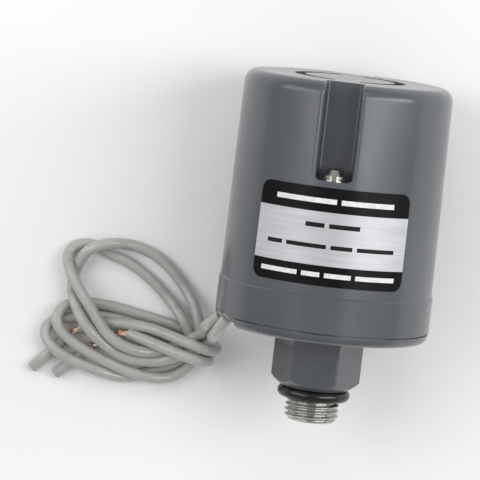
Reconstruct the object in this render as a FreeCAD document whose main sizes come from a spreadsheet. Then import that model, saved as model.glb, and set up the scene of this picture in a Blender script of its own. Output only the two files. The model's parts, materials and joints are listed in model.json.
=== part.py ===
"""Pressure switch with a G1/4 nipple, lying on its side with two loose leads.

Every piece of the switch is drawn upright: local Z runs from the threaded nipple
to the top of the cover, local -Y is the front with the label, and Z = 0 is the
sealing face of the hexagon. One common placement then lays the switch down, so
that the frame has +Y along the switch and +Z up from the table it lies on.
"""
import FreeCAD, Part
import math
import os
import Sketcher

doc = FreeCAD.newDocument("pressure_switch")
sheet = doc.addObject("Spreadsheet::Sheet", "d")

DIMENSIONS = {
    # base, nipple and seal
    "nipple_length": 8.3,
    "thread_radius": 6.578,
    "thread_root": 5.9,
    "port_radius": 2.2,
    "hex_height": 13.9,
    "hex_flats": 19.0,
    "flange_thickness": 2.7,
    "flange_radius": 26.0,
    "seam": 0.4,
    "platform_height": 3.4,
    "platform_radius": 23.2,
    "seal_section": 1.45,
    "seal_centre_radius": 7.45,
    # cover
    "cover_height": 59.2,
    "band_radius": 26.15,
    "band_height": 8.4,
    "cover_lower_radius": 25.82,
    "cover_top_radius": 25.25,
    "wall": 2.3,
    "cover_edge": 3.0,
    "groove_half_width": 4.3,
    "groove_floor_radius": 18.4,
    "ledge_height": 36.0,
    "cover_screw_radius": 21.5,
    "column_radius": 3.1,
    "emblem_radius": 13.5,
    "emblem_depth": 0.7,
    # label
    "label_bottom": 11.2,
    "label_height": 23.3,
    "label_arc": 86.0,
    "label_skin": 0.16,
    "label_corner": 2.5,
    # wire exit
    "exit_angle": 24.75,
    "slot_half_width": 4.7,
    "slot_radius": 19.6,
    "mouth_half_width": 6.4,
    "mouth_radius": 22.8,
    "grommet_reach": 3.1,
    "grommet_height": 6.6,
    "wire_radius": 1.4,
    "wire_clearance": 0.35,
    # diaphragm, plate and piston
    "diaphragm_radius": 13.5,
    "diaphragm_thickness": 1.0,
    "plate_radius": 19.5,
    "plate_thickness": 3.5,
    "piston_radius": 8.2,
    "piston_flange_radius": 10.8,
    "spring_boss_radius": 4.9,
    "spring_mean_radius": 6.3,
    "spring_wire": 0.9,
    "spring_height": 23.6,
    "spring_pitch": 3.6,
    "rod_offset": 9.8,
    "rod_radius": 0.9,
    # frame
    "leg_inside": 12.5,
    "sheet_thickness": 1.5,
    "leg_half_width": 8.0,
    "foot_reach": 18.6,
    "frame_height": 37.0,
    "web_thickness": 3.0,
    "frame_screw_x": 16.4,
    "frame_screw_y": 5.0,
    # lever and snap switch
    "pivot_offset": 15.0,
    "pivot_height": 43.2,
    "pivot_radius": 0.8,
    "ear_inside": 4.0,
    "ear_thickness": 1.2,
    "switch_half_length": 6.4,
    "switch_depth": 5.0,
    "switch_bottom": 32.5,
    "switch_height": 6.5,
    "switch_axis": 17.1,
    "adjuster_radius": 3.0,
    # fit of parts that slide or turn in each other
    "running_fit": 0.05,
}
for row, (alias, value) in enumerate(DIMENSIONS.items(), start=1):
    sheet.set("A%d" % row, alias)
    sheet.set("B%d" % row, str(value))
    sheet.setAlias("B%d" % row, alias)

# Heights that follow from the dimensions above.
DERIVED = {
    "flange_top": "=hex_height + flange_thickness",
    "cover_top": "=flange_top + cover_height",
    "platform_top": "=flange_top + platform_height",
    "ledge": "=flange_top + ledge_height",
    "plate_top": "=platform_top + plate_thickness",
    "diaphragm_top": "=platform_top + diaphragm_thickness",
    "spring_bottom": "=plate_top + 1.9",
    "seat_bottom": "=spring_bottom + spring_height",
    "frame_top": "=plate_top + frame_height",
    "leg_outside": "=leg_inside + sheet_thickness",
    "middle": "=(cover_top - nipple_length) / 2",
}
for row, (alias, formula) in enumerate(DERIVED.items(), start=len(DIMENSIONS) + 2):
    sheet.set("A%d" % row, alias)
    sheet.setAlias("B%d" % row, alias)
    sheet.set("B%d" % row, formula)
doc.recompute()

LIE_DOWN = FreeCAD.Rotation(FreeCAD.Vector(1, 0, 0), -90)
parts = {}


def size(alias):
    """The number in one cell of the sheet."""
    return float(sheet.get(alias))


def shift(obj, x="0", y="0", z="0", axis=(0, 0, 1), angle=0):
    """Turn a primitive and bind its position to the sheet."""
    turn = FreeCAD.Rotation(FreeCAD.Vector(*axis), angle)
    obj.Placement = FreeCAD.Placement(FreeCAD.Vector(), turn)
    for letter, formula in zip("xyz", (x, y, z)):
        obj.setExpression(".Placement.Base." + letter, str(formula))
    return obj


def cylinder(radius, height, x="0", y="0", z="0", axis=(0, 0, 1), angle=0):
    obj = doc.addObject("Part::Cylinder", "cylinder")
    obj.setExpression("Radius", str(radius))
    obj.setExpression("Height", str(height))
    return shift(obj, x, y, z, axis, angle)


def along_x(radius, length, x, y, z):
    """A cylinder whose axis runs towards +X."""
    return cylinder(radius, length, x, y, z, (0, 1, 0), 90)


def along_y(radius, length, x, y, z):
    """A cylinder whose axis runs towards +Y."""
    return cylinder(radius, length, x, y, z, (1, 0, 0), -90)


def cone(low_radius, high_radius, height, x="0", y="0", z="0"):
    obj = doc.addObject("Part::Cone", "cone")
    obj.setExpression("Radius1", str(low_radius))
    obj.setExpression("Radius2", str(high_radius))
    obj.setExpression("Height", str(height))
    return shift(obj, x, y, z)


def block(low, high):
    """A box between two corners, each given as three formulas."""
    obj = doc.addObject("Part::Box", "block")
    for name, a, b in zip(("Length", "Width", "Height"), low, high):
        obj.setExpression(name, "(%s) - (%s)" % (b, a))
    return shift(obj, *low)


def radial_block(low, high, angle):
    """A box drawn along +X (radius, sideways, height) and turned about the switch axis."""
    inner = block(low, high)
    outer = doc.addObject("Part::Compound", "turned_block")
    outer.Links = [inner]
    outer.Placement.Rotation = FreeCAD.Rotation(FreeCAD.Vector(0, 0, 1), angle)
    return outer


def fuse(*pieces):
    obj = doc.addObject("Part::MultiFuse", "fuse")
    obj.Shapes = list(pieces)
    return obj


def cut(base, *tools):
    obj = doc.addObject("Part::Cut", "cut")
    obj.Base = base
    obj.Tool = tools[0] if len(tools) == 1 else fuse(*tools)
    return obj


def common(first, second):
    obj = doc.addObject("Part::Common", "common")
    obj.Base = first
    obj.Tool = second
    return obj


def group(*pieces):
    obj = doc.addObject("Part::Compound", "group")
    obj.Links = list(pieces)
    return obj


def origin_plane(body, role):
    for feature in body.Origin.OriginFeatures:
        if feature.Role == role:
            return feature


def outline(body, role, points, offset=None):
    """A closed polygon in a sketch, each corner held by two bound distances."""
    sketch = body.newObject("Sketcher::SketchObject", "outline")
    sketch.AttachmentSupport = [(origin_plane(body, role), "")]
    sketch.MapMode = "FlatFace"
    if offset:
        sketch.setExpression("AttachmentOffset.Base.z", offset)
    count = len(points)
    start = []
    for i in range(count):
        angle = 2 * math.pi * i / count
        start.append(FreeCAD.Vector(30 + 10 * math.cos(angle), 10 * math.sin(angle), 0))
    for i in range(count):
        sketch.addGeometry(Part.LineSegment(start[i], start[(i + 1) % count]))
    for i in range(count):
        sketch.addConstraint(Sketcher.Constraint("Coincident", i, 2, (i + 1) % count, 1))
    for i, corner in enumerate(points):
        for kind, axis_id, formula in (("DistanceX", -2, corner[0]), ("DistanceY", -1, corner[1])):
            if formula == "0":
                sketch.addConstraint(Sketcher.Constraint("PointOnObject", i, 1, axis_id))
            else:
                here = start[i].x if kind == "DistanceX" else start[i].y
                number = sketch.addConstraint(Sketcher.Constraint(kind, -1, 1, i, 1, here))
                sketch.setExpression("Constraints[%d]" % number, formula)
    return sketch


def turned(profile, angle=360):
    """A body made by turning a profile of (radius, height) corners about the local Z axis."""
    body = doc.addObject("PartDesign::Body", "turned")
    sketch = outline(body, "XZ_Plane", profile)
    feature = body.newObject("PartDesign::Revolution", "revolution")
    feature.Profile = sketch
    feature.ReferenceAxis = (sketch, ["V_Axis"])
    feature.Midplane = True
    feature.Angle = angle
    body.Tip = feature
    return body


def flat(points, low, thickness, role="XY_Plane"):
    """A body padded from a flat outline, starting at a given height above the plane."""
    body = doc.addObject("PartDesign::Body", "flat")
    sketch = outline(body, role, points, offset=low)
    feature = body.newObject("PartDesign::Pad", "pad")
    feature.Profile = sketch
    feature.setExpression("Length", thickness)
    body.Tip = feature
    return body


def rounded(base, radius, wanted):
    """Round those edges of a piece whose middle point passes the test."""
    doc.recompute()
    edges = []
    for number, edge in enumerate(base.Shape.Edges, start=1):
        first, last = edge.ParameterRange
        if wanted(edge, edge.valueAt((first + last) / 2)):
            edges.append((number, radius, radius))
    obj = doc.addObject("Part::Fillet", "rounded")
    obj.Base = base
    obj.Edges = edges
    return obj


def part(name, obj, turn=0):
    """Name a finished piece of the switch and lay it down with all the others."""
    obj.Label = name
    spin = FreeCAD.Rotation(FreeCAD.Vector(0, 0, 1), turn)
    obj.Placement = FreeCAD.Placement(FreeCAD.Vector(), LIE_DOWN.multiply(spin))
    obj.setExpression(".Placement.Base.y", "-d.middle")
    obj.setExpression(".Placement.Base.z", "d.band_radius")
    parts[name] = obj
    return obj


def pan_head_screw(x, y, head_bottom, shank, reach, head, head_height):
    """A screw along Z with a slightly domed head and a cross recess."""
    stem = cylinder(shank, "%s + 0.01" % reach, x, y, "%s - (%s)" % (head_bottom, reach))
    low = cylinder(head, "%s * 0.45" % head_height, x, y, head_bottom)
    dome = cone(head, "%s * 0.62" % head, "%s * 0.55" % head_height,
                x, y, "%s + %s * 0.45" % (head_bottom, head_height))
    solid = fuse(stem, low, dome)
    half_long = "%s * 0.55" % head
    half_thin = "%s * 0.13" % head
    bottom = "%s + %s * 0.4" % (head_bottom, head_height)
    top = "%s + %s + 0.1" % (head_bottom, head_height)
    arms = []
    for a, b in ((half_long, half_thin), (half_thin, half_long)):
        arms.append(block(("%s - %s" % (x, a), "%s - %s" % (y, b), bottom),
                          ("%s + %s" % (x, a), "%s + %s" % (y, b), top)))
    return cut(solid, *arms)


def rod_between(start, end, radius):
    start = FreeCAD.Vector(*start)
    run = FreeCAD.Vector(*end) - start
    return Part.makeCylinder(radius, run.Length, start, run)


def beyond(start, end, extra):
    """The point a little past the end of a straight line."""
    run = FreeCAD.Vector(*end) - FreeCAD.Vector(*start)
    return FreeCAD.Vector(*end) + run * (extra / run.Length)


# ---------------------------------------------------------------- base and port
def make_base():
    hexagon = doc.addObject("Part::Prism", "hexagon")
    hexagon.Polygon = 6
    hexagon.setExpression("Circumradius", "d.hex_flats / sqrt(3)")
    hexagon.setExpression("Height", "d.hex_height + 0.5")
    chamfer = turned([("0", "0"), ("8.5", "0"), ("11.1", "2.3"), ("11.1", "d.hex_height + 1"),
                      ("0", "d.hex_height + 1")])
    disc = turned([("0", "d.hex_height"), ("d.flange_radius", "d.hex_height"),
                   ("d.flange_radius", "d.flange_top - d.seam"),
                   ("d.flange_radius - 0.7", "d.flange_top - d.seam"),
                   ("d.flange_radius - 0.7", "d.flange_top"), ("d.platform_radius", "d.flange_top"),
                   ("d.platform_radius", "d.platform_top"), ("0", "d.platform_top")])
    softened = rounded(hexagon, 0.7, lambda edge, middle: edge.Length > size("hex_height") and
                       abs(edge.tangentAt(edge.ParameterRange[0]).z) > 0.9)
    body = fuse(common(softened, chamfer), disc)

    def wanted(edge, middle):
        rim = math.hypot(middle.x, middle.y)
        low_rim = abs(middle.z - size("hex_height")) < 0.01
        return low_rim and rim > size("flange_radius") - 0.1

    shaped = rounded(body, 1.9, wanted)

    def hex_root(edge, middle):
        rim = math.hypot(middle.x, middle.y)
        return abs(middle.z - size("hex_height")) < 0.01 and rim < 11.2

    shaped = rounded(shaped, 3.6, hex_root)
    chamber = cylinder("11", "1.5", z="d.platform_top - 1.5")
    socket = cylinder("5.0", "12.01", z="-0.01")
    port = cylinder("d.port_radius", "d.platform_top", z="0")
    slot = radial_block(("d.slot_radius", "-d.slot_half_width - 0.05", "d.hex_height - 3"),
                        ("28", "d.slot_half_width + 0.05", "d.platform_top + 1"),
                        180 + size("exit_angle"))
    mouth = radial_block(("d.mouth_radius", "-d.mouth_half_width", "d.hex_height - 3"),
                         ("28", "d.mouth_half_width", "d.platform_top + 1"),
                         180 + size("exit_angle"))
    tapped = []
    for side in ("-", "+"):
        tapped.append(cylinder("1.5 + d.running_fit", "8", "0",
                               "0 %s d.cover_screw_radius" % side, "d.platform_top - 5.4"))
    for x in ("-", "+"):
        for y in ("-", "+"):
            tapped.append(cylinder("1.5", "8", "0 %s d.frame_screw_x" % x,
                                   "0 %s d.frame_screw_y" % y, "d.platform_top - 4.2"))
    part("base_body", cut(shaped, chamber, socket, port, slot, mouth, *tapped))


def make_nipple():
    profile = [("d.port_radius", "12"), ("d.port_radius", "-d.nipple_length"),
               ("d.thread_radius - 1.0", "-d.nipple_length"),
               ("d.thread_radius", "0.9 - d.nipple_length"),
               ("d.thread_radius", "-3.2"), ("d.thread_root", "-2.9"), ("d.thread_root", "0"),
               ("5.0", "0"), ("5.0", "12")]
    part("threaded_nipple", turned(profile))
    ring = doc.addObject("Part::Torus", "ring")
    ring.setExpression("Radius1", "d.seal_centre_radius")
    ring.setExpression("Radius2", "d.seal_section")
    part("nipple_o_ring", group(shift(ring, z="-d.seal_section")))


# ---------------------------------------------------------------- cover and label
def make_cover():
    body = turned([("0", "d.flange_top"), ("d.band_radius", "d.flange_top"),
                   ("d.band_radius", "d.flange_top + d.band_height"),
                   ("d.cover_lower_radius", "d.flange_top + d.band_height + 0.35"),
                   ("d.cover_top_radius", "d.cover_top"), ("0", "d.cover_top")])
    top = size("cover_top")
    shell = rounded(body, size("cover_edge"),
                    lambda edge, middle: abs(middle.z - top) < 0.01 and
                    math.hypot(middle.x, middle.y) > 20)
    grooves = []
    for low, high in (("-32", "-d.groove_floor_radius"), ("d.groove_floor_radius", "32")):
        grooves.append(block(("-d.groove_half_width", low, "d.ledge"),
                             ("d.groove_half_width", high, "d.cover_top + 1")))
    grooved = cut(shell, *grooves)
    half = size("groove_half_width")
    floor = size("groove_floor_radius")

    def groove_edges(edge, middle):
        on_side = abs(abs(middle.x) - half) < 0.01
        return on_side and middle.z > size("ledge") - 0.01 and abs(middle.y) > floor - 0.01

    soft = rounded(grooved, 0.9, groove_edges)
    hollow = cone("d.band_radius - d.wall - 0.25", "d.cover_top_radius - d.wall",
                  "d.cover_height - 2.4 + 1", z="d.flange_top - 1")
    keep = []
    for side, low, high in (("-", "-32", "-d.groove_floor_radius + 2"),
                            ("+", "d.groove_floor_radius - 2", "32")):
        keep.append(block(("-d.groove_half_width - 2", low, "d.ledge - 2.2"),
                          ("d.groove_half_width + 2", high, "d.cover_top")))
        keep.append(cylinder("d.column_radius", "d.ledge - d.platform_top", "0",
                             "0 %s d.cover_screw_radius" % side, "d.platform_top + 0.4"))
    cavity = cut(hollow, *keep)
    holes = []
    for side in ("-", "+"):
        holes.append(cylinder("1.7", "60", "0", "0 %s d.cover_screw_radius" % side, "d.flange_top"))
    passages = []
    for knee, mouth in ((KNEE_A, EXIT_A), (KNEE_B, EXIT_B)):
        tunnel = doc.addObject("Part::Feature", "tunnel")
        tunnel.Shape = rod_between(knee, beyond(knee, mouth, 4.0),
                                   size("wire_radius") + size("wire_clearance"))
        passages.append(tunnel)
    ring = cut(cylinder("d.emblem_radius", "5", z="d.cover_top - d.emblem_depth"),
               cylinder("d.emblem_radius - 2.6", "5", z="d.cover_top - d.emblem_depth"),
               block(("-3", "-20", "d.cover_top - 2"), ("3", "20", "d.cover_top + 6")))
    part("cover", cut(soft, cavity, ring, *passages, *holes))

    screws = []
    for side in ("-", "+"):
        screws.append(pan_head_screw("0", "0 %s d.cover_screw_radius" % side, "d.ledge",
                                     "1.5", "d.ledge - d.platform_top + 4.8", "3.05", "2.6"))
    part("cover_screws", group(*screws))


def make_label():
    rise = "(d.cover_lower_radius - d.cover_top_radius) / (d.cover_height - d.band_height - 0.35)"
    corners = []
    for outwards, up in (("0", "0"), ("d.label_skin", "0"), ("d.label_skin", "1"), ("0", "1")):
        height = "(d.label_bottom + %s * d.label_height)" % up
        radius = "d.cover_lower_radius - %s * (%s - d.band_height - 0.35) + %s" % (
            rise, height, outwards)
        corners.append((radius, "d.flange_top + " + height))
    body = turned(corners, size("label_arc"))
    skin = size("label_skin")
    label = rounded(body, size("label_corner"),
                    lambda edge, middle: edge.Length < 2 * skin)
    part("cover_label", label, turn=-90 + 2.6)


# ---------------------------------------------------------------- pressure side
def make_pressure_side():
    part("diaphragm", turned([("0", "d.platform_top"), ("d.diaphragm_radius", "d.platform_top"),
                              ("d.diaphragm_radius", "d.diaphragm_top"), ("0", "d.diaphragm_top")]))
    disc = turned([("d.piston_radius + 0.35", "d.diaphragm_top"),
                   ("d.diaphragm_radius + 0.1", "d.diaphragm_top"),
                   ("d.diaphragm_radius + 0.1", "d.platform_top"),
                   ("d.plate_radius", "d.platform_top"), ("d.plate_radius", "d.plate_top"),
                   ("d.piston_radius + 0.35", "d.plate_top")])
    flats = block(("-30", "-17.6", "0"), ("30", "17.6", "d.cover_top"))
    holes = []
    for x in ("-", "+"):
        for y in ("-", "+"):
            holes.append(cylinder("1.5", "60", "0 %s d.frame_screw_x" % x,
                                  "0 %s d.frame_screw_y" % y))
    part("diaphragm_clamp_plate", cut(common(disc, flats), *holes))
    part("piston", turned([("0", "d.diaphragm_top + 0.05"),
                           ("d.piston_radius", "d.diaphragm_top + 0.05"),
                           ("d.piston_radius", "d.plate_top + 0.4"),
                           ("d.piston_flange_radius", "d.plate_top + 0.4"),
                           ("d.piston_flange_radius", "d.spring_bottom"),
                           ("d.spring_boss_radius", "d.spring_bottom"),
                           ("d.spring_boss_radius - 0.6", "d.spring_bottom + 3"),
                           ("0", "d.spring_bottom + 3")]))
    rod_top = "d.pivot_height - 0.2"
    rod = cylinder("d.rod_radius", "%s - 0.6 - d.spring_bottom" % rod_top, "-d.rod_offset", "0",
                   "d.spring_bottom")
    tip = cone("d.rod_radius", "0.35", "0.6", "-d.rod_offset", "0", "%s - 0.6" % rod_top)
    part("push_rod", fuse(rod, tip))

    helix = doc.addObject("Part::Helix", "helix")
    helix.setExpression("Radius", "d.spring_mean_radius")
    helix.setExpression("Pitch", "d.spring_pitch")
    helix.setExpression("Height", "d.spring_height - 2 * d.spring_wire")
    shift(helix, z="d.spring_bottom + d.spring_wire")
    section = doc.addObject("Part::Circle", "section")
    section.setExpression("Radius", "d.spring_wire")
    shift(section, "d.spring_mean_radius", "0", "d.spring_bottom + d.spring_wire",
          (1, 0, 0), 90)
    spring = doc.addObject("Part::Sweep", "sweep")
    spring.Sections = [section]
    spring.Spine = (helix, [])
    spring.Solid = True
    spring.Frenet = True
    part("range_spring", group(spring))


# ---------------------------------------------------------------- spring frame and adjuster
def make_frame():
    web = block(("-d.leg_outside", "-d.leg_half_width", "d.frame_top - d.web_thickness"),
                ("d.leg_outside", "d.leg_half_width", "d.frame_top"))
    pieces = [web]
    for low, high in (("-d.leg_outside", "-d.leg_inside"), ("d.leg_inside", "d.leg_outside")):
        pieces.append(block((low, "-d.leg_half_width", "d.plate_top"),
                            (high, "d.leg_half_width", "d.frame_top")))
    for low, high in (("-d.foot_reach", "-d.leg_inside"), ("d.leg_inside", "d.foot_reach")):
        pieces.append(block((low, "-7.6", "d.plate_top"), (high, "7.6", "d.plate_top + 1.5")))
    for low, high in (("-d.ear_inside - d.ear_thickness", "-d.ear_inside"),
                      ("d.ear_inside", "d.ear_inside + d.ear_thickness")):
        pieces.append(block(("-d.pivot_offset - 1.7", low, "d.pivot_height - 2.2"),
                            ("-d.leg_inside", high, "d.pivot_height + 2.4")))
    window = block(("-d.leg_outside - 0.5", "-d.ear_inside + 0.3", "d.pivot_height - 2.4"),
                   ("-d.leg_inside + 0.5", "d.ear_inside - 0.3", "d.pivot_height + 2.6"))
    clip_spaces = []
    for low, high in (("-6.4", "-d.ear_inside - d.ear_thickness"),
                      ("d.ear_inside + d.ear_thickness", "6.4")):
        clip_spaces.append(block(("-d.leg_outside - 2", low, "d.pivot_height - 2.2"),
                                 ("-d.leg_inside + 1", high, "d.pivot_height + 2.2")))
    pivot = along_y("d.pivot_radius", "20", "-d.pivot_offset", "-10", "d.pivot_height")
    thread = cylinder("d.adjuster_radius + d.running_fit", "10", z="d.frame_top - 6")
    holes = []
    for x in ("-", "+"):
        for y in ("-", "+"):
            holes.append(cylinder("1.5", "4", "0 %s d.frame_screw_x" % x,
                                  "0 %s d.frame_screw_y" % y, "d.plate_top - 1"))
    for y in ("-3.2", "3.2"):
        holes.append(along_x("1.0", "4", "-d.leg_outside - 1", y, "d.switch_bottom + 1.1"))
    part("spring_frame", cut(fuse(*pieces), window, pivot, thread, *clip_spaces, *holes))

    screws = []
    for x in ("-", "+"):
        for y in ("-", "+"):
            screws.append(pan_head_screw("0 %s d.frame_screw_x" % x, "0 %s d.frame_screw_y" % y,
                                         "d.plate_top + 1.5", "1.5", "8", "2.3", "1.9"))
    part("frame_screws", group(*screws))

    seat_top = "d.seat_bottom + 2.4"
    part("upper_spring_seat", turned([
        ("0", "d.seat_bottom - 3"), ("d.spring_boss_radius - 0.6", "d.seat_bottom - 3"),
        ("d.spring_boss_radius", "d.seat_bottom"), ("8.0", "d.seat_bottom"), ("8.0", seat_top),
        ("0", seat_top)]))
    head = "d.frame_top + 6.2"
    screw = turned([("0", seat_top + " + 0.05"), ("1.4", seat_top + " + 0.05"),
                    ("d.adjuster_radius", seat_top + " + 1.6"), ("d.adjuster_radius", head),
                    ("4.6", head), ("4.6", head + " + 2.9"), ("4.1", head + " + 3.4"),
                    ("0", head + " + 3.4")])
    slot = block(("-6", "-0.6", head + " + 1.9"), ("6", "0.6", head + " + 4"))
    part("adjusting_screw", cut(screw, slot))
    nut = doc.addObject("Part::Prism", "nut")
    nut.Polygon = 6
    nut.setExpression("Circumradius", "10 / sqrt(3)")
    nut.Height = 4.0
    corner_cone = turned([("0", "d.frame_top - 0.1"), ("5.85", "d.frame_top - 0.1"),
                          ("5.85", "d.frame_top + 3.4"), ("4.8", "d.frame_top + 4"),
                          ("0", "d.frame_top + 4")])
    bore = cylinder("d.adjuster_radius + d.running_fit", "8", z="d.frame_top - 1")
    part("lock_nut", cut(common(shift(nut, z="d.frame_top"), corner_cone), bore))


# ---------------------------------------------------------------- lever and snap switch
def make_lever():
    pivot = "-d.pivot_offset"
    corners = [("6.4", "-0.1"), ("6.4", "1.6"), ("2", "2.0"), ("-1.4", "2.0"), ("-3.2", "0.4"),
               ("-3.2", "-3.2"), ("-1.2", "-3.2"), ("-1.2", "-1.4"), ("1.8", "-1.4"), ("3", "-0.1")]
    points = []
    for across, up in corners:
        points.append(("%s + %s" % (pivot, across), "d.pivot_height + %s" % up))
    plate = flat(points, "-d.ear_inside + 0.5", "2 * d.ear_inside - 1", role="XZ_Plane")
    bore = along_y("d.pivot_radius + d.running_fit", "20", pivot, "-10", "d.pivot_height")
    part("lever", cut(plate, bore))
    part("lever_pin", group(along_y("d.pivot_radius", "13", pivot, "-6.5", "d.pivot_height")))
    clips = []
    for low in ("-6.1", "5.3"):
        clips.append(cut(along_y("1.9", "0.8", pivot, low, "d.pivot_height"),
                         along_y("d.pivot_radius", "2", pivot, "%s - 0.5" % low, "d.pivot_height")))
    part("lever_pin_clips", group(*clips))


def make_snap_switch():
    back = "-d.leg_outside"
    front = "-d.leg_outside - d.switch_depth"
    low = "d.switch_bottom"
    high = "d.switch_bottom + d.switch_height"
    shell = block((front, "-d.switch_half_length", low), (back, "d.switch_half_length", high))
    hollow = block((front + " - 1", "-5.7", low + " + 2.2"), (back + " - 1", "5.7", high + " - 0.8"))
    button_hole = cylinder("1.0 + d.running_fit", "4", "-d.switch_axis", "0", high + " - 2")
    screw_holes = []
    for y in ("-3.2", "3.2"):
        screw_holes.append(along_x("1.0", "9", front + " - 1.5", y, low + " + 1.1"))
    slots = []
    for y in ("-5.4", "5.0"):
        slots.append(block(("-d.switch_axis - 1", y, low + " - 1"),
                           ("-d.switch_axis + 1", y + " + 0.4", low + " + 3")))
    part("snap_switch_case", cut(shell, hollow, button_hole, *screw_holes, *slots))
    lid = block((front + " - 0.8", "-d.switch_half_length", low),
                (front, "d.switch_half_length", high))
    lid_holes = []
    for y in ("-3.2", "3.2"):
        lid_holes.append(along_x("1.0", "4", front + " - 2", y, low + " + 1.1"))
    part("snap_switch_lid", cut(lid, *lid_holes))
    screws = []
    for y in ("-3.2", "3.2"):
        stem = along_x("1.0", "d.switch_depth + 2.8", front + " - 0.8", y, low + " + 1.1")
        head = along_x("1.8", "1.2", front + " - 2.0", y, low + " + 1.1")
        slot = block((front + " - 2.1", y + " - 2", low + " + 0.85"),
                     (front + " - 1.5", y + " + 2", low + " + 1.35"))
        screws.append(cut(fuse(stem, head), slot))
    part("snap_switch_screws", group(*screws))
    button = turned([("0", low + " + 4.65"), ("1.5", low + " + 4.65"), ("1.5", low + " + 5.2"),
                     ("1.0", low + " + 5.2"), ("1.0", high + " + 0.6"), ("0.6", high + " + 0.9"),
                     ("0", high + " + 0.9")])
    part("snap_switch_button", group(shift(button, "-d.switch_axis")))

    near, far = "-d.switch_axis - 1", "-d.switch_axis + 1"
    foot = low + " - 1.9"
    part("common_terminal", group(block((near, "-5.4", foot), (far, "-5.0", low + " + 3.8"))))
    upright = block((near, "5.0", foot), (far, "5.4", low + " + 2.65"))
    tab = block((near, "3.4", low + " + 2.35"), (far, "5.4", low + " + 2.65"))
    part("contact_terminal", fuse(upright, tab))
    part("fixed_contact", group(cylinder("0.8", "0.4", "-d.switch_axis", "4.3", low + " + 2.65")))
    strip = block((near, "-5.5", low + " + 4.0"), (far, "5.2", low + " + 4.2"))
    knuckle = along_x("0.28", "2", near, "-5.4", low + " + 4.1")
    part("contact_blade", fuse(strip, knuckle))
    part("moving_contact", group(cylinder("0.8", "0.35", "-d.switch_axis", "4.3",
                                          low + " + 3.65")))


# ---------------------------------------------------------------- wires
def tube(name, points):
    """A solid wire along straight runs joined by tangent arcs."""
    radius = size("wire_radius")
    points = [FreeCAD.Vector(*p) for p in points]
    edges = []
    bends = []
    here = points[0]
    for before, corner, after in zip(points, points[1:], points[2:]):
        first = corner - before
        second = after - corner
        half_turn = first.getAngle(second) / 2
        reach = 0.45 * min(first.Length, second.Length)
        bend = reach / math.tan(half_turn)
        bends.append(bend)
        first.normalize()
        second.normalize()
        start = corner - first * reach
        end = corner + second * reach
        inwards = (second - first).normalize()
        middle = corner + inwards * (bend / math.cos(half_turn) - bend)
        edges.append(Part.LineSegment(here, start).toShape())
        edges.append(Part.Arc(start, middle, end).toShape())
        here = end
    edges.append(Part.LineSegment(here, points[-1]).toShape())
    path = Part.Wire(edges)
    direction = (points[1] - points[0]).normalize()
    section = Part.Wire([Part.makeCircle(radius, points[0], direction)])
    solid = path.makePipeShell([section], True, False)
    ratio = solid.Volume / (math.pi * radius ** 2 * path.Length)
    print("%s: length %.1f mm, arc radii %s, volume ratio %.3f"
          % (name, path.Length, ["%.1f" % bend for bend in bends], ratio))
    return solid


def loose(name, shape):
    """A piece drawn straight in the final frame, such as a wire on the table."""
    obj = doc.addObject("Part::Feature", name)
    obj.Shape = shape
    obj.Label = name
    parts[name] = obj


def oval(centre, half_long, half_short, angle, height):
    """An upright slab with an elliptical outline, its long axis turned by the angle."""
    ellipse = Part.Ellipse(FreeCAD.Vector(0, 0, 0), half_long, half_short)
    slab = Part.Face(Part.Wire([ellipse.toShape()])).extrude(FreeCAD.Vector(0, 0, height))
    slab.rotate(FreeCAD.Vector(0, 0, 0), FreeCAD.Vector(0, 0, 1), angle)
    slab.translate(FreeCAD.Vector(*centre))
    return slab


# Inside, upright frame: from the contact terminal round the frame's foot, and from the
# common terminal straight down, each to its knee in the grommet and out under the cover.
KNEE_A, EXIT_A = (-20.2, -7.0, 19.0), (-24.2, -7.25, 15.55)
KNEE_B, EXIT_B = (-18.5, -10.8, 19.0), (-22.3, -11.75, 15.55)
INNER_A = [(-17.1, 5.2, 30.6), (-20.6, 4.4, 28.0), (-21.4, -1.5, 26.5), (-20.3, -6.8, 23.0)]
INNER_B = [(-17.1, -5.2, 30.6), (-19.2, -8.2, 28.0), (-18.5, -10.8, 23.4)]
# Outside, final frame: out from under the rim, down the side and into the coil.
ROUTE_A = [(-24.2, -18.2, 33.4), (-26.4, -20.4, 31.7), (-27.9, -22.1, 27.7),
           (-28.9, -23.5, 20.4), (-29.6, -25.6, 13.0), (-30.6, -27.0, 8.4), (-33.6, -29.0, 6.4)]
ROUTE_B = [(-22.3, -18.2, 37.9), (-24.0, -21.1, 36.1), (-25.5, -23.6, 32.0),
           (-26.3, -24.9, 24.8), (-26.6, -26.0, 17.6), (-27.2, -27.4, 10.8),
           (-28.7, -29.2, 7.4), (-31.6, -31.4, 6.8)]
# Each stripped end, final frame: wire end, start of the loose sleeve, end of the sleeve.
END_A = [(-49.0, -29.5, 4.4), (-58.0, -34.1, 1.4), (-66.8, -42.6, 1.4)]
END_B = [(-61.6, -30.3, 1.5), (-64.2, -32.0, 1.4), (-72.9, -41.8, 1.4)]
CORE_RADIUS = 0.75


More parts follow.
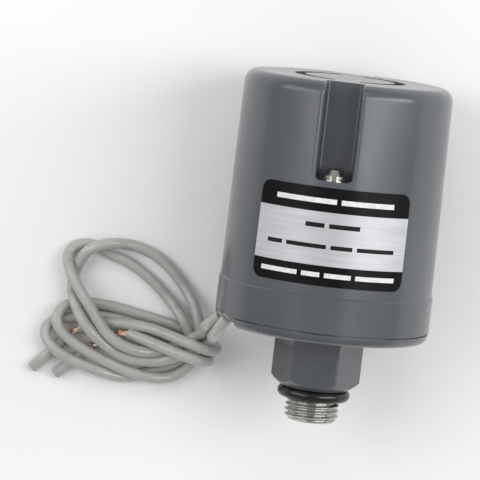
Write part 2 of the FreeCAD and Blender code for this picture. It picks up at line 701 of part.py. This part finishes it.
def make_wiring():
    leads = []
    for letter, inner in (("a", INNER_A + [KNEE_A, EXIT_A]), ("b", INNER_B + [KNEE_B, EXIT_B])):
        name = "inner_lead_" + letter
        shape = tube(name, inner)
        tool = doc.addObject("Part::Feature", name + "_space")
        tool.Shape = shape
        leads.append(tool)
        part(name, group(tool))
    bottom = "d.flange_top - 1.7"
    body = radial_block(("d.slot_radius + 0.1", "-d.slot_half_width", bottom),
                        ("d.slot_radius + d.grommet_reach", "d.slot_half_width",
                         bottom + " + d.grommet_height"),
                        180 + size("exit_angle"))
    part("wire_grommet", cut(body, *leads))

    for letter, route, end in (("a", ROUTE_A, END_A), ("b", ROUTE_B, END_B)):
        loose("wire_" + letter, tube("wire_" + letter, route))
        loose("wire_core_" + letter, rod_between(end[0], end[1], CORE_RADIUS))
        loose("wire_sleeve_" + letter, rod_between(end[1], end[2], size("wire_radius")))
    bundle = oval((-48.0, -32.0, 0), 24.0, 10.4, -7, 8.4)
    loop = oval((-48.5, -21.6, 0), 22.5, 13.6, -37, 5.6)
    gap = oval((-50.0, -16.2, -1), 10.0, 4.6, -28, 8.0)
    hump = oval((-31.5, -31.0, 0), 6.5, 5.0, -20, 11.0)
    loose("wire_coil", bundle.fuse([loop, hump]).cut(gap).removeSplitter())


make_base()
make_nipple()
make_cover()
make_label()
make_pressure_side()
make_frame()
make_lever()
make_snap_switch()
make_wiring()
doc.recompute()

for obj in doc.Objects:
    if "Invalid" in obj.State or "Error" in obj.State:
        raise RuntimeError("%s (%s) failed: %s" % (obj.Name, obj.Label, obj.State))
for name, obj in parts.items():
    if obj.Shape.isNull() or not obj.Shape.isValid() or obj.Shape.Volume < 0.01:
        raise RuntimeError("%s has no valid solid" % name)

os.makedirs("parts", exist_ok=True)
for name, obj in parts.items():
    obj.Shape.exportStep("parts/%s.step" % name)
    box = obj.Shape.BoundBox
    print("%-22s solids %d volume %9.2f  x %.1f..%.1f y %.1f..%.1f z %.1f..%.1f" % (
        name, len(obj.Shape.Solids), obj.Shape.Volume, box.XMin, box.XMax, box.YMin, box.YMax,
        box.ZMin, box.ZMax))
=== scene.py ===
"""A pressure switch lying on a pale table, with its two grey leads looped beside it."""
import json
import math

import bpy
from mathutils import Matrix, Vector


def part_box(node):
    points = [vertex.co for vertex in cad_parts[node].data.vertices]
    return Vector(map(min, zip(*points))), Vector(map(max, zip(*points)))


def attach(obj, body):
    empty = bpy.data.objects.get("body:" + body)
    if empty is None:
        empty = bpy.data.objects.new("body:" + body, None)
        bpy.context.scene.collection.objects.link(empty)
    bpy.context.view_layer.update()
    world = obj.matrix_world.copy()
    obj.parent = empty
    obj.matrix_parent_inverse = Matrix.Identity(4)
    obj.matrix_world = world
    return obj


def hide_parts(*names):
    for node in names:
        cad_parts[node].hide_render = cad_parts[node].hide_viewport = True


MM = 0.001
SHARP_ANGLE = math.radians(50)
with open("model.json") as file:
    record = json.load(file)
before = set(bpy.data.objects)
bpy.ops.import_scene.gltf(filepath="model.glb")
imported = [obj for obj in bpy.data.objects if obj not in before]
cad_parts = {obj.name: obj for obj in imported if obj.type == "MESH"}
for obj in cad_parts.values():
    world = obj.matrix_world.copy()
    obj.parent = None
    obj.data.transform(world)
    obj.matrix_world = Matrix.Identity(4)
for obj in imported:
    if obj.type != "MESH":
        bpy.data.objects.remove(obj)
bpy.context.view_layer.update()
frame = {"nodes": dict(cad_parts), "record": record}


def mm(x, y, z):
    return Vector((x * MM, y * MM, z * MM))


# ------------------------------------------------------------------ what the CAD gives
nipple_low, nipple_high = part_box("threaded_nipple")
label_low, label_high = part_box("cover_label")
AXIS_Z = (nipple_low[2] + nipple_high[2]) / 2
SEAL_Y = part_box("nipple_o_ring")[1][1]

# ------------------------------------------------------------------ leads, in millimetres
LEAD_RADIUS = 1.4
STRAND_RADIUS = 0.17
STRAND_RINGS = [(0.0, 1), (0.33, 6), (0.62, 10)]
STRAND_TWIST = 2.4 * math.pi
INTO_LEAD, SHORT_OF_SLUG_END = 1.0, 0.35
SLUG_BORE, SLUG_LIP = 0.86, 0.14
LEAD_A = [
    # out under the cover, down past the flange to the table
    (-24.2, -18.2, 33.4), (-26.4, -20.4, 31.7), (-27.9, -22.1, 27.7), (-28.9, -23.5, 20.4),
    (-29.6, -25.6, 13.0), (-30.6, -27.0, 8.4), (-34.1, -29.7, 7.0), (-37.6, -31.5, 5.2),
    # first turn, over the other lead and back along the inside of the loop
    (-41.5, -33.3, 5.0), (-45.4, -33.6, 6.4), (-50.0, -32.5, 7.4), (-54.1, -30.0, 7.4),
    (-57.0, -26.5, 7.4), (-59.4, -23.2, 7.4), (-62.0, -20.1, 6.6), (-64.2, -17.1, 5.8),
    (-65.8, -14.4, 4.8), (-66.8, -11.7, 2.4), (-65.5, -9.6, 1.4), (-62.6, -8.4, 1.4),
    (-59.4, -9.0, 1.4), (-55.9, -10.6, 1.5), (-51.7, -11.7, 1.4), (-47.4, -14.0, 1.4),
    (-43.2, -17.1, 1.4), (-39.2, -20.8, 1.6), (-36.0, -24.0, 4.2), (-33.8, -27.3, 4.4),
    (-32.9, -30.5, 4.3), (-33.7, -33.4, 3.8),
    # second turn, round the outside of the bundle
    (-36.5, -35.6, 2.2), (-39.6, -37.6, 1.5), (-43.3, -39.1, 1.5), (-46.7, -40.7, 1.5),
    (-50.6, -41.2, 2.4), (-54.6, -40.2, 4.2), (-58.8, -39.2, 4.3), (-63.0, -38.0, 4.3),
    (-66.8, -36.3, 4.3), (-69.9, -33.7, 3.6), (-70.4, -30.8, 2.4), (-68.3, -28.5, 1.5),
    (-64.5, -27.8, 1.5), (-60.0, -26.8, 1.4), (-55.5, -26.3, 1.5), (-50.8, -26.8, 1.5),
    (-46.1, -27.7, 1.5), (-41.4, -28.9, 1.5), (-37.1, -30.4, 1.5), (-33.9, -31.5, 1.5),
    (-30.5, -32.8, 1.5),
    # folded back over the top to the stripped end
    (-28.0, -33.4, 4.2), (-27.9, -33.7, 8.2), (-30.0, -33.4, 10.6), (-33.2, -32.8, 10.1),
    (-36.0, -32.2, 9.7), (-39.6, -31.4, 8.4), (-43.9, -30.5, 6.6), (-46.7, -30.1, 5.0),
    (-49.0, -29.5, 4.4),
]
LEAD_B = [
    # out under the cover, down past the flange to the table
    (-22.3, -18.2, 37.9), (-24.0, -21.1, 36.1), (-25.5, -23.6, 32.0), (-26.3, -24.9, 24.8),
    (-26.6, -26.0, 17.6), (-27.2, -27.4, 10.8), (-28.7, -29.2, 7.4), (-31.4, -31.1, 7.1),
    # first turn, beside the other lead and round the outside of the loop
    (-34.2, -32.8, 6.9), (-37.5, -34.5, 5.2), (-41.3, -35.9, 4.6), (-45.3, -36.1, 5.0),
    (-49.4, -35.6, 5.2), (-53.9, -33.4, 5.6), (-57.9, -30.2, 7.4), (-60.8, -27.1, 7.2),
    (-62.6, -24.6, 5.8), (-64.0, -21.9, 4.2), (-64.8, -19.4, 2.6), (-64.6, -16.3, 1.9),
    (-63.5, -13.0, 3.0), (-61.8, -10.1, 4.3), (-59.1, -8.4, 4.6), (-55.6, -7.3, 4.4),
    (-51.8, -7.3, 2.4), (-47.5, -8.1, 1.4), (-43.2, -10.1, 1.4), (-39.0, -13.6, 1.4),
    (-35.5, -17.6, 1.8), (-32.8, -21.3, 4.2), (-31.2, -25.4, 4.8), (-30.7, -29.2, 4.6),
    (-31.2, -32.9, 4.2),
    # second turn, between the other lead's turns
    (-33.1, -36.2, 3.0), (-36.1, -39.0, 1.8), (-39.9, -40.2, 3.4), (-44.7, -39.8, 4.6),
    (-49.6, -38.8, 4.4), (-54.7, -37.0, 4.6), (-59.2, -35.3, 4.6), (-63.5, -33.1, 4.6),
    (-67.0, -30.3, 4.6), (-67.8, -27.0, 4.2), (-65.8, -24.4, 2.2), (-61.9, -23.4, 1.4),
    (-57.3, -23.4, 1.4), (-52.7, -23.8, 1.4), (-48.0, -24.6, 1.4), (-42.8, -25.5, 1.4),
    (-37.3, -26.6, 1.4), (-32.8, -28.1, 1.4), (-29.1, -29.4, 1.5),
    # folded back over the top to the stripped end
    (-26.4, -30.4, 4.2), (-26.4, -30.8, 8.2), (-28.4, -30.5, 10.7), (-32.0, -29.6, 10.4),
    (-35.4, -28.8, 9.6), (-39.9, -28.0, 6.8), (-44.3, -27.4, 4.6), (-49.4, -27.2, 4.3),
    (-55.0, -27.6, 3.7), (-58.7, -29.0, 2.2), (-61.7, -30.3, 1.5),
]
# The bare copper runs from inside the lead's end into a loose piece of its insulation.
COPPER_BEND = {"a": (-51.4, -29.7, 3.8), "b": (-63.0, -30.9, 1.5)}
SLUG = {"a": [(-58.0, -34.1, 1.4), (-66.8, -42.6, 1.4)],
        "b": [(-64.2, -32.0, 1.4), (-72.9, -41.8, 1.4)]}


# ------------------------------------------------------------------ materials
class Finish:
    """A Principled material with its noise textures and the sums that join them."""

    def __init__(self, name, colour, roughness, metallic=0.0):
        self.material = bpy.data.materials.new(name)
        self.material.use_nodes = True
        self.material.diffuse_color = (*colour, 1)
        self.tree = self.material.node_tree
        self.shader = self.tree.nodes["Principled BSDF"]
        self.colour = colour
        self.set("Base Color", (*colour, 1))
        self.set("Roughness", roughness)
        self.set("Metallic", metallic)
        self.roughness = roughness
        self.place = self.node("ShaderNodeTexCoord").outputs["Object"]
        self.bumped = None

    def node(self, kind, **settings):
        made = self.tree.nodes.new(kind)
        for key, value in settings.items():
            setattr(made, key, value)
        return made

    def link(self, source, target):
        self.tree.links.new(source, target)

    def set(self, socket, value):
        self.shader.inputs[socket].default_value = value

    def stretched(self, scale):
        """Object coordinates scaled differently along each axis."""
        mapping = self.node("ShaderNodeMapping")
        mapping.inputs["Scale"].default_value = scale
        self.link(self.place, mapping.inputs["Vector"])
        return mapping.outputs["Vector"]

    def noise(self, scale, detail=3.0, where=None):
        made = self.node("ShaderNodeTexNoise")
        made.inputs["Scale"].default_value = scale
        made.inputs["Detail"].default_value = detail
        self.link(where or self.place, made.inputs["Vector"])
        return made.outputs["Fac"]

    def maths(self, operation, first, second=None):
        made = self.node("ShaderNodeMath", operation=operation)
        for socket, value in zip(made.inputs, (first, second)):
            if value is None:
                continue
            if isinstance(value, (int, float)):
                socket.default_value = value
            else:
                self.link(value, socket)
        return made.outputs[0]

    def span(self, value, low, high, to_low=0.0, to_high=1.0):
        made = self.node("ShaderNodeMapRange", interpolation_type="SMOOTHSTEP")
        for name, number in (("From Min", low), ("From Max", high),
                             ("To Min", to_low), ("To Max", to_high)):
            made.inputs[name].default_value = number
        self.link(value, made.inputs["Value"])
        return made.outputs["Result"]

    def blend(self, amount, first, second):
        made = self.node("ShaderNodeMix", data_type="RGBA")
        self.link(amount, made.inputs["Factor"])
        for socket, value in ((made.inputs["A"], first), (made.inputs["B"], second)):
            if isinstance(value, tuple):
                socket.default_value = (*value, 1)
            else:
                self.link(value, socket)
        return made.outputs["Result"]

    def paint(self, colour):
        self.link(colour, self.shader.inputs["Base Color"])
        return colour

    def mottle(self, amount, scale, detail=4.0):
        """Light and dark clouds of the finish's own colour."""
        dark = tuple(c * (1 - amount) for c in self.colour)
        light = tuple(min(1, c * (1 + amount)) for c in self.colour)
        return self.paint(self.blend(self.span(self.noise(scale, detail), 0.3, 0.7), dark, light))

    def wear(self, spread, scale):
        """Patches that are a little glossier and a little duller."""
        patches = self.noise(scale, 5.0)
        self.link(self.span(patches, 0.3, 0.7, max(0.02, self.roughness - spread),
                            self.roughness + spread), self.shader.inputs["Roughness"])

    def bump(self, height, strength, distance):
        made = self.node("ShaderNodeBump")
        made.inputs["Strength"].default_value = strength
        made.inputs["Distance"].default_value = distance
        self.link(height, made.inputs["Height"])
        if self.bumped:
            self.link(self.bumped, made.inputs["Normal"])
        self.bumped = made.outputs["Normal"]
        self.link(self.bumped, self.shader.inputs["Normal"])


def painted_grey():
    """The cover: smooth semi-gloss grey with a slight orange peel and hazy handled patches."""
    finish = Finish("housing_grey", (0.088, 0.096, 0.106), 0.24)
    finish.set("Coat Weight", 0.15)
    finish.set("Coat Roughness", 0.12)
    finish.mottle(0.05, 60)
    finish.wear(0.03, 90)
    finish.bump(finish.noise(900, 2.0), 0.02, 0.0001)
    return finish.material


def cast_grey():
    """The base: the same paint over a slightly grainy casting."""
    finish = Finish("base_grey", (0.082, 0.089, 0.098), 0.28)
    finish.set("Coat Weight", 0.4)
    finish.set("Coat Roughness", 0.15)
    finish.mottle(0.08, 120)
    finish.wear(0.07, 160)
    finish.bump(finish.noise(520, 4.0), 0.14, 0.0003)
    return finish.material


def turned_metal(name, colour, roughness, around="y"):
    """Bright metal with fine tool lines round the switch's axis."""
    finish = Finish(name, colour, roughness, 1.0)
    scale = {"y": (0.05, 1.0, 0.05), "all": (1.0, 1.0, 1.0)}[around]
    lines = finish.noise(2600, 3.0, finish.stretched(scale))
    finish.mottle(0.06, 240)
    finish.wear(0.08, 400)
    finish.bump(lines, 0.035, 0.0001)
    return finish.material


def plated_sheet():
    """Zinc on pressed sheet, with the spangle and a rolling grain."""
    finish = Finish("zinc_plate", (0.56, 0.57, 0.55), 0.34, 1.0)
    cells = finish.node("ShaderNodeTexVoronoi", feature="F1")
    cells.inputs["Scale"].default_value = 420
    finish.link(finish.place, cells.inputs["Vector"])
    finish.paint(finish.blend(finish.span(cells.outputs["Distance"], 0.0, 1.0),
                              (0.62, 0.63, 0.62), (0.48, 0.49, 0.48)))
    finish.wear(0.08, 200)
    finish.bump(finish.noise(1500, 2.0, finish.stretched((1.0, 0.1, 1.0))), 0.08, 0.0001)
    return finish.material


def moulded(name, colour, roughness, grain=0.06, grain_scale=1400):
    finish = Finish(name, colour, roughness)
    finish.mottle(0.06, 150)
    finish.wear(0.06, 220)
    finish.bump(finish.noise(grain_scale, 3.0), grain, 0.0001)
    return finish.material


def lead_insulation():
    """Warm grey soft plastic: satin, with faint dirt and small dents from handling."""
    finish = Finish("wire_grey", (0.45, 0.443, 0.425), 0.24)
    finish.set("Specular IOR Level", 0.75)
    finish.set("Subsurface Weight", 0.04)
    finish.set("Subsurface Radius", (0.0006, 0.0006, 0.0005))
    marks = finish.span(finish.noise(260, 5.0), 0.56, 0.74)
    clouds = finish.span(finish.noise(45, 3.0), 0.35, 0.65)
    body = finish.blend(clouds, (0.435, 0.428, 0.41), (0.475, 0.468, 0.45))
    finish.paint(finish.blend(marks, body, (0.37, 0.362, 0.345)))
    finish.wear(0.08, 180)
    finish.bump(finish.noise(700, 3.0), 0.08, 0.0002)
    finish.bump(finish.noise(90, 2.0), 0.04, 0.0006)
    return finish.material


def bare_copper():
    finish = Finish("copper", (0.97, 0.70, 0.56), 0.24, 1.0)
    tarnish = finish.span(finish.noise(500, 4.0), 0.5, 0.72)
    finish.paint(finish.blend(tarnish, (0.98, 0.73, 0.60), (0.86, 0.52, 0.38)))
    finish.wear(0.1, 700)
    finish.bump(finish.noise(3000, 2.0), 0.05, 0.00005)
    return finish.material


def label_foil(band_top, band_bottom):
    """Brushed silver foil between two black printed bands, at heights along Y."""
    finish = Finish("label_foil", (0.58, 0.59, 0.61), 0.42)
    split = finish.node("ShaderNodeSeparateXYZ")
    finish.link(finish.place, split.inputs["Vector"])
    along = split.outputs["Y"]
    black = finish.maths("MAXIMUM", finish.maths("GREATER_THAN", along, band_top),
                         finish.maths("LESS_THAN", along, band_bottom))
    brushed = finish.noise(1200, 2.0, finish.stretched((0.08, 1.0, 0.08)))
    foil = finish.blend(finish.span(brushed, 0.3, 0.7), (0.53, 0.54, 0.56), (0.60, 0.61, 0.63))
    ink = finish.blend(finish.span(finish.noise(200, 3.0), 0.3, 0.7),
                       (0.004, 0.004, 0.005), (0.008, 0.008, 0.009))
    finish.paint(finish.blend(black, foil, ink))
    silver = finish.maths("SUBTRACT", 1.0, black)
    finish.link(finish.maths("MULTIPLY", silver, 0.35), finish.shader.inputs["Metallic"])
    finish.link(finish.span(black, 0.0, 1.0, 0.5, 0.12), finish.shader.inputs["Specular IOR Level"])
    finish.link(finish.span(black, 0.0, 1.0, 0.42, 0.3), finish.shader.inputs["Roughness"])
    finish.bump(finish.noise(400, 2.0), 0.03, 0.0001)
    return finish.material


def printed(name, colour):
    finish = Finish(name, colour, 0.5)
    finish.set("Specular IOR Level", 0.2)
    finish.mottle(0.1, 900)
    finish.bump(finish.noise(2500, 2.0), 0.04, 0.00005)
    return finish.material


TOP_BAND, BOTTOM_BAND = 5.8 * MM, 4.8 * MM
MATERIALS = {
    "housing_grey": painted_grey(),
    "base_grey": cast_grey(),
    "nickel_steel": turned_metal("nickel_steel", (0.50, 0.50, 0.47), 0.24),
    "black_rubber": moulded("black_rubber", (0.008, 0.008, 0.009), 0.22, 0.05, 900),
    "label_foil": label_foil(label_high[1] - TOP_BAND, label_low[1] + BOTTOM_BAND),
    "bright_steel": turned_metal("bright_steel", (0.58, 0.55, 0.50), 0.16, "all"),
    "diaphragm_rubber": moulded("diaphragm_rubber", (0.02, 0.02, 0.021), 0.6, 0.15, 1800),
    "zinc_plate": plated_sheet(),
    "brass": turned_metal("brass", (0.78, 0.57, 0.27), 0.22),
    "black_plastic": moulded("black_plastic", (0.018, 0.018, 0.02), 0.42, 0.12, 1600),
    "red_plastic": moulded("red_plastic", (0.50, 0.02, 0.02), 0.3),
    "contact_silver": turned_metal("contact_silver", (0.86, 0.86, 0.84), 0.2, "all"),
    "wire_grey": lead_insulation(),
    "copper": bare_copper(),
    "spring_steel": turned_metal("spring_steel", (0.38, 0.38, 0.40), 0.26, "all"),
}
PRINT_LIGHT = printed("print_white", (0.80, 0.80, 0.81))
PRINT_DARK = printed("print_black", (0.008, 0.008, 0.009))


def dress(obj, material):
    obj.data.materials.clear()
    obj.data.materials.append(material)


for entry in frame["record"]["subparts"]:
    dress(frame["nodes"][entry["node"]], MATERIALS[entry["material_slot"]])


# ------------------------------------------------------------------ camera
CAMERA_AT = mm(36.3, 87.5, 821.3)
LOOKS_AT = mm(-22.10, -0.25, 26.15)
ROLL = math.radians(6.5)
LENS = 246.85


def photo_camera():
    """Almost straight down, a little from the side of the cover's top, and rolled."""
    data = bpy.data.cameras.new("camera")
    data.sensor_width = 36.0
    data.lens = LENS
    data.clip_end = 10
    camera = bpy.data.objects.new("camera", data)
    bpy.context.scene.collection.objects.link(camera)
    ahead = (LOOKS_AT - CAMERA_AT).normalized()
    level_up = Vector((0, 1, 0)) - ahead * ahead.y
    level_up.normalize()
    level_right = ahead.cross(level_up)
    up = level_up * math.cos(ROLL) - level_right * math.sin(ROLL)
    right = level_right * math.cos(ROLL) + level_up * math.sin(ROLL)
    turn = Matrix((right, up, -ahead)).transposed()
    camera.matrix_world = Matrix.Translation(CAMERA_AT) @ turn.to_4x4()
    bpy.context.scene.camera = camera


photo_camera()


# ------------------------------------------------------------------ leads
def curve_piece(name, radius, material):
    data = bpy.data.curves.new(name, "CURVE")
    data.dimensions = "3D"
    data.bevel_depth = radius
    data.bevel_resolution = 5
    data.use_fill_caps = True
    obj = bpy.data.objects.new(name, data)
    bpy.context.scene.collection.objects.link(obj)
    dress(obj, material)
    return obj


def add_spline(obj, points, resolution=10):
    spline = obj.data.splines.new("NURBS")
    spline.points.add(len(points) - 1)
    for point, place in zip(spline.points, points):
        point.co = (*place, 1)
    spline.order_u = 3
    spline.use_endpoint_u = True
    spline.resolution_u = resolution


def mesh_piece(name, points, faces, material, smooth=True):
    data = bpy.data.meshes.new(name)
    data.from_pydata(points, [], faces)
    data.update()
    for face in data.polygons:
        face.use_smooth = smooth
    obj = bpy.data.objects.new(name, data)
    bpy.context.scene.collection.objects.link(obj)
    dress(obj, material)
    return obj


def ring_faces(rings, around, flipped=False):
    """Quads between each ring of points and the next; the last ring joins the first."""
    faces = []
    for ring in range(rings):
        following = (ring + 1) % rings
        for number in range(around):
            beside = (number + 1) % around
            quad = (ring * around + number, following * around + number,
                    following * around + beside, ring * around + beside)
            faces.append(quad[:1] + quad[:0:-1] if flipped else quad)
    return faces


def across(direction):
    """Two directions square to a line and to each other."""
    first = direction.cross(Vector((0, 0, 1))).normalized()
    return first, direction.cross(first).normalized()


def twisted_strands(name, path, node):
    """Fine copper strands laid in a loose twist round a bent line of points."""
    obj = curve_piece(name, STRAND_RADIUS * MM, MATERIALS["copper"])
    obj.data.bevel_resolution = 2
    steps = 18
    total = sum((b - a).length for a, b in zip(path, path[1:]))
    for radius, count in STRAND_RINGS:
        for number in range(count):
            points = []
            travelled = 0.0
            for start, end in zip(path, path[1:]):
                run = end - start
                side, rise = across(run.normalized())
                for step in range(steps + 1):
                    share = step / steps
                    along = travelled + run.length * share
                    angle = 2 * math.pi * number / count + STRAND_TWIST * along / total
                    points.append(start + run * share
                                  + (side * math.cos(angle)
                                     + rise * math.sin(angle)) * radius * MM)
                travelled += run.length
            add_spline(obj, points, 2)
    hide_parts(node)
    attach(obj, "base")
    return obj


def insulation_slug(name, start, end, node):
    """A short loose tube of insulation, cut square, with slightly rounded lips."""
    run = end - start
    ahead = run.normalized()
    side, rise = across(ahead)
    outer, inner, lip = LEAD_RADIUS * MM, SLUG_BORE * MM, SLUG_LIP * MM
    profile = [(0, inner), (0, outer - lip), (lip, outer), (run.length - lip, outer),
               (run.length, outer - lip), (run.length, inner)]
    around = 32
    points = []
    for along, radius in profile:
        for number in range(around):
            angle = 2 * math.pi * number / around
            points.append(start + ahead * along
                          + (side * math.cos(angle) + rise * math.sin(angle)) * radius)
    obj = mesh_piece(name, points, ring_faces(len(profile), around), MATERIALS["wire_grey"])
    obj.data.set_sharp_from_angle(angle=SHARP_ANGLE)
    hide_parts(node)
    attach(obj, "base")
    return obj


def lead(letter, route):
    points = [mm(*place) for place in route]
    obj = curve_piece("lead_" + letter, LEAD_RADIUS * MM, MATERIALS["wire_grey"])
    add_spline(obj, points)
    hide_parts("wire_" + letter, "wire_coil")
    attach(obj, "base")
    start, end = (mm(*place) for place in SLUG[letter])
    into_lead = (points[-2] - points[-1]).normalized() * INTO_LEAD * MM
    short_of_end = end + (start - end).normalized() * SHORT_OF_SLUG_END * MM
    core = twisted_strands("lead_%s_strands" % letter,
                           [points[-1] + into_lead, mm(*COPPER_BEND[letter]), start, short_of_end],
                           "wire_core_" + letter)
    tube = insulation_slug("lead_%s_slug" % letter, start, end, "wire_sleeve_" + letter)


lead("a", LEAD_A)
lead("b", LEAD_B)


# ------------------------------------------------------------------ thread
def threaded_nipple():
    """The nipple with its real helix, G 1/4: pitch 1.337 mm, 0.856 mm deep."""
    pitch, depth, crest = 1.337, 0.856, 6.578
    root = crest - depth
    bore, neck, shank = 2.2, 5.9, 5.0
    tip, thread_top, shank_end, chamfer = -8.3, -3.0, 12.0, 0.4
    run_in_length, run_out_length, start_taper = 1.1, 0.5, 1.05
    around, rings_per_mm = 120, 15
    count = int((thread_top - tip) * rings_per_mm)

    def thread_radius(height, turn):
        phase = (height / pitch - turn) % 1.0
        flank = abs(2 * phase - 1)
        ramp = min(1.0, max(0.0, 1.2 * flank - 0.1))  # flats at the crest and the root
        tooth = ramp * ramp * (3 - 2 * ramp)
        run_in = min(1.0, (height - tip) / run_in_length)
        run_out = min(1.0, (thread_top - height) / run_out_length)
        outside = min(crest, crest - start_taper * (1 - run_in))
        full = root + (crest - root) * tooth * max(0.0, run_out)
        return min(full, outside)

    profile = [lambda turn: (bore, shank_end), lambda turn: (bore, tip + chamfer),
               lambda turn: (bore + chamfer, tip)]
    for number in range(count + 1):
        height = tip + (thread_top - tip) * number / count
        profile.append(lambda turn, height=height: (thread_radius(height, turn), height))
    for radius, height in ((neck, thread_top + 0.15), (neck, 0.0), (shank, 0.0),
                           (shank, shank_end)):
        profile.append(lambda turn, radius=radius, height=height: (radius, height))
    points = []
    for corner in profile:
        for number in range(around):
            turn = number / around
            radius, height = corner(turn)
            angle = 2 * math.pi * turn
            points.append((radius * MM * math.cos(angle), SEAL_Y + height * MM,
                           AXIS_Z - radius * MM * math.sin(angle)))
    faces = ring_faces(len(profile), around, flipped=True)
    obj = mesh_piece("nipple_with_thread", points, faces, MATERIALS["nickel_steel"])
    obj.data.set_sharp_from_angle(angle=SHARP_ANGLE)
    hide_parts("threaded_nipple")
    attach(obj, "base")


threaded_nipple()


# ------------------------------------------------------------------ print on the label
LABEL_TURN = math.radians(2.6)
PRINT_LIFT, EDGE_REACH = 0.02, 0.05
WORD_SPACE = 1.1


def label_point(around, height):
    """A point just proud of the label: millimetres round it and up from its lower edge."""
    share = height * MM / (label_high[1] - label_low[1])
    radius = LABEL_RADII[0] + (LABEL_RADII[1] - LABEL_RADII[0]) * share + PRINT_LIFT * MM
    angle = around * MM / radius + LABEL_TURN
    return (radius * math.sin(angle), label_low[1] + height * MM,
            AXIS_Z + radius * math.cos(angle))


def label_radii():
    """The label's outside radius at its lower and upper edge."""
    found = {}
    for vertex in frame["nodes"]["cover_label"].data.vertices:
        radius = math.hypot(vertex.co.x, vertex.co.z - AXIS_Z)
        for key, edge in (("low", label_low[1]), ("high", label_high[1])):
            if abs(vertex.co.y - edge) < EDGE_REACH * MM:
                found[key] = max(found.get(key, 0.0), radius)
    return found["low"], found["high"]


LABEL_RADII = label_radii()


def print_bars(name, rows, material):
    """Words as plain bars: each row gives its middle height, bar height and word lengths."""
    points, faces = [], []
    for middle, tall, words in rows:
        here = -(sum(words) + WORD_SPACE * (len(words) - 1)) / 2
        for length in words:
            columns = math.ceil(length)
            first = len(points)
            for column in range(columns + 1):
                for edge in (-0.5, 0.5):
                    points.append(label_point(here + length * column / columns,
                                              middle + edge * tall))
            for column in range(columns):
                a = first + 2 * column
                faces.append((a, a + 2, a + 3, a + 1))
            here += length + WORD_SPACE
    obj = mesh_piece(name, points, faces, material)
    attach(obj, "cover_body")


print_bars("label_print_white", [(20.1, 1.2, [15.0, 13.2]), (2.6, 1.1, [9.6, 4.4, 6.4, 10.2])],
           PRINT_LIGHT)
print_bars("label_print_black", [(14.3, 1.1, [4.6, 7.4]), (9.3, 1.0, [4.0, 9.8, 5.2, 9.6])],
           PRINT_DARK)


# ------------------------------------------------------------------ table and light
def table_top():
    size = 3.0
    corners = [(-size, -size, 0), (size, -size, 0), (size, size, 0), (-size, size, 0)]
    finish = Finish("table_white", (0.97, 0.97, 0.97), 0.6)
    finish.mottle(0.01, 8)
    floor = mesh_piece("table_top", corners, [(0, 1, 2, 3)], finish.material, False)


def soft_light(name, place, size, power):
    data = bpy.data.lights.new(name, "AREA")
    data.shape = "RECTANGLE"
    data.size, data.size_y = size
    data.energy = power
    obj = bpy.data.objects.new(name, data)
    obj.location = place
    obj.rotation_euler = (LOOKS_AT - Vector(place)).to_track_quat("-Z", "Y").to_euler()
    bpy.context.scene.collection.objects.link(obj)


def studio():
    world = bpy.data.worlds.new("studio")
    world.use_nodes = True
    world.node_tree.nodes["Background"].inputs["Color"].default_value = (1, 1, 1, 1)
    world.node_tree.nodes["Background"].inputs["Strength"].default_value = 0.42
    bpy.context.scene.world = world
    soft_light("key_left", (-0.75, 0.25, 0.75), (0.5, 1.1), 4.0)
    soft_light("key_right", (0.80, 0.20, 0.70), (0.45, 1.1), 6.8)
    soft_light("top", (0.0, 0.9, 0.9), (0.9, 0.4), 2)
    bpy.context.scene.view_settings.view_transform = "Standard"


table_top()
studio()
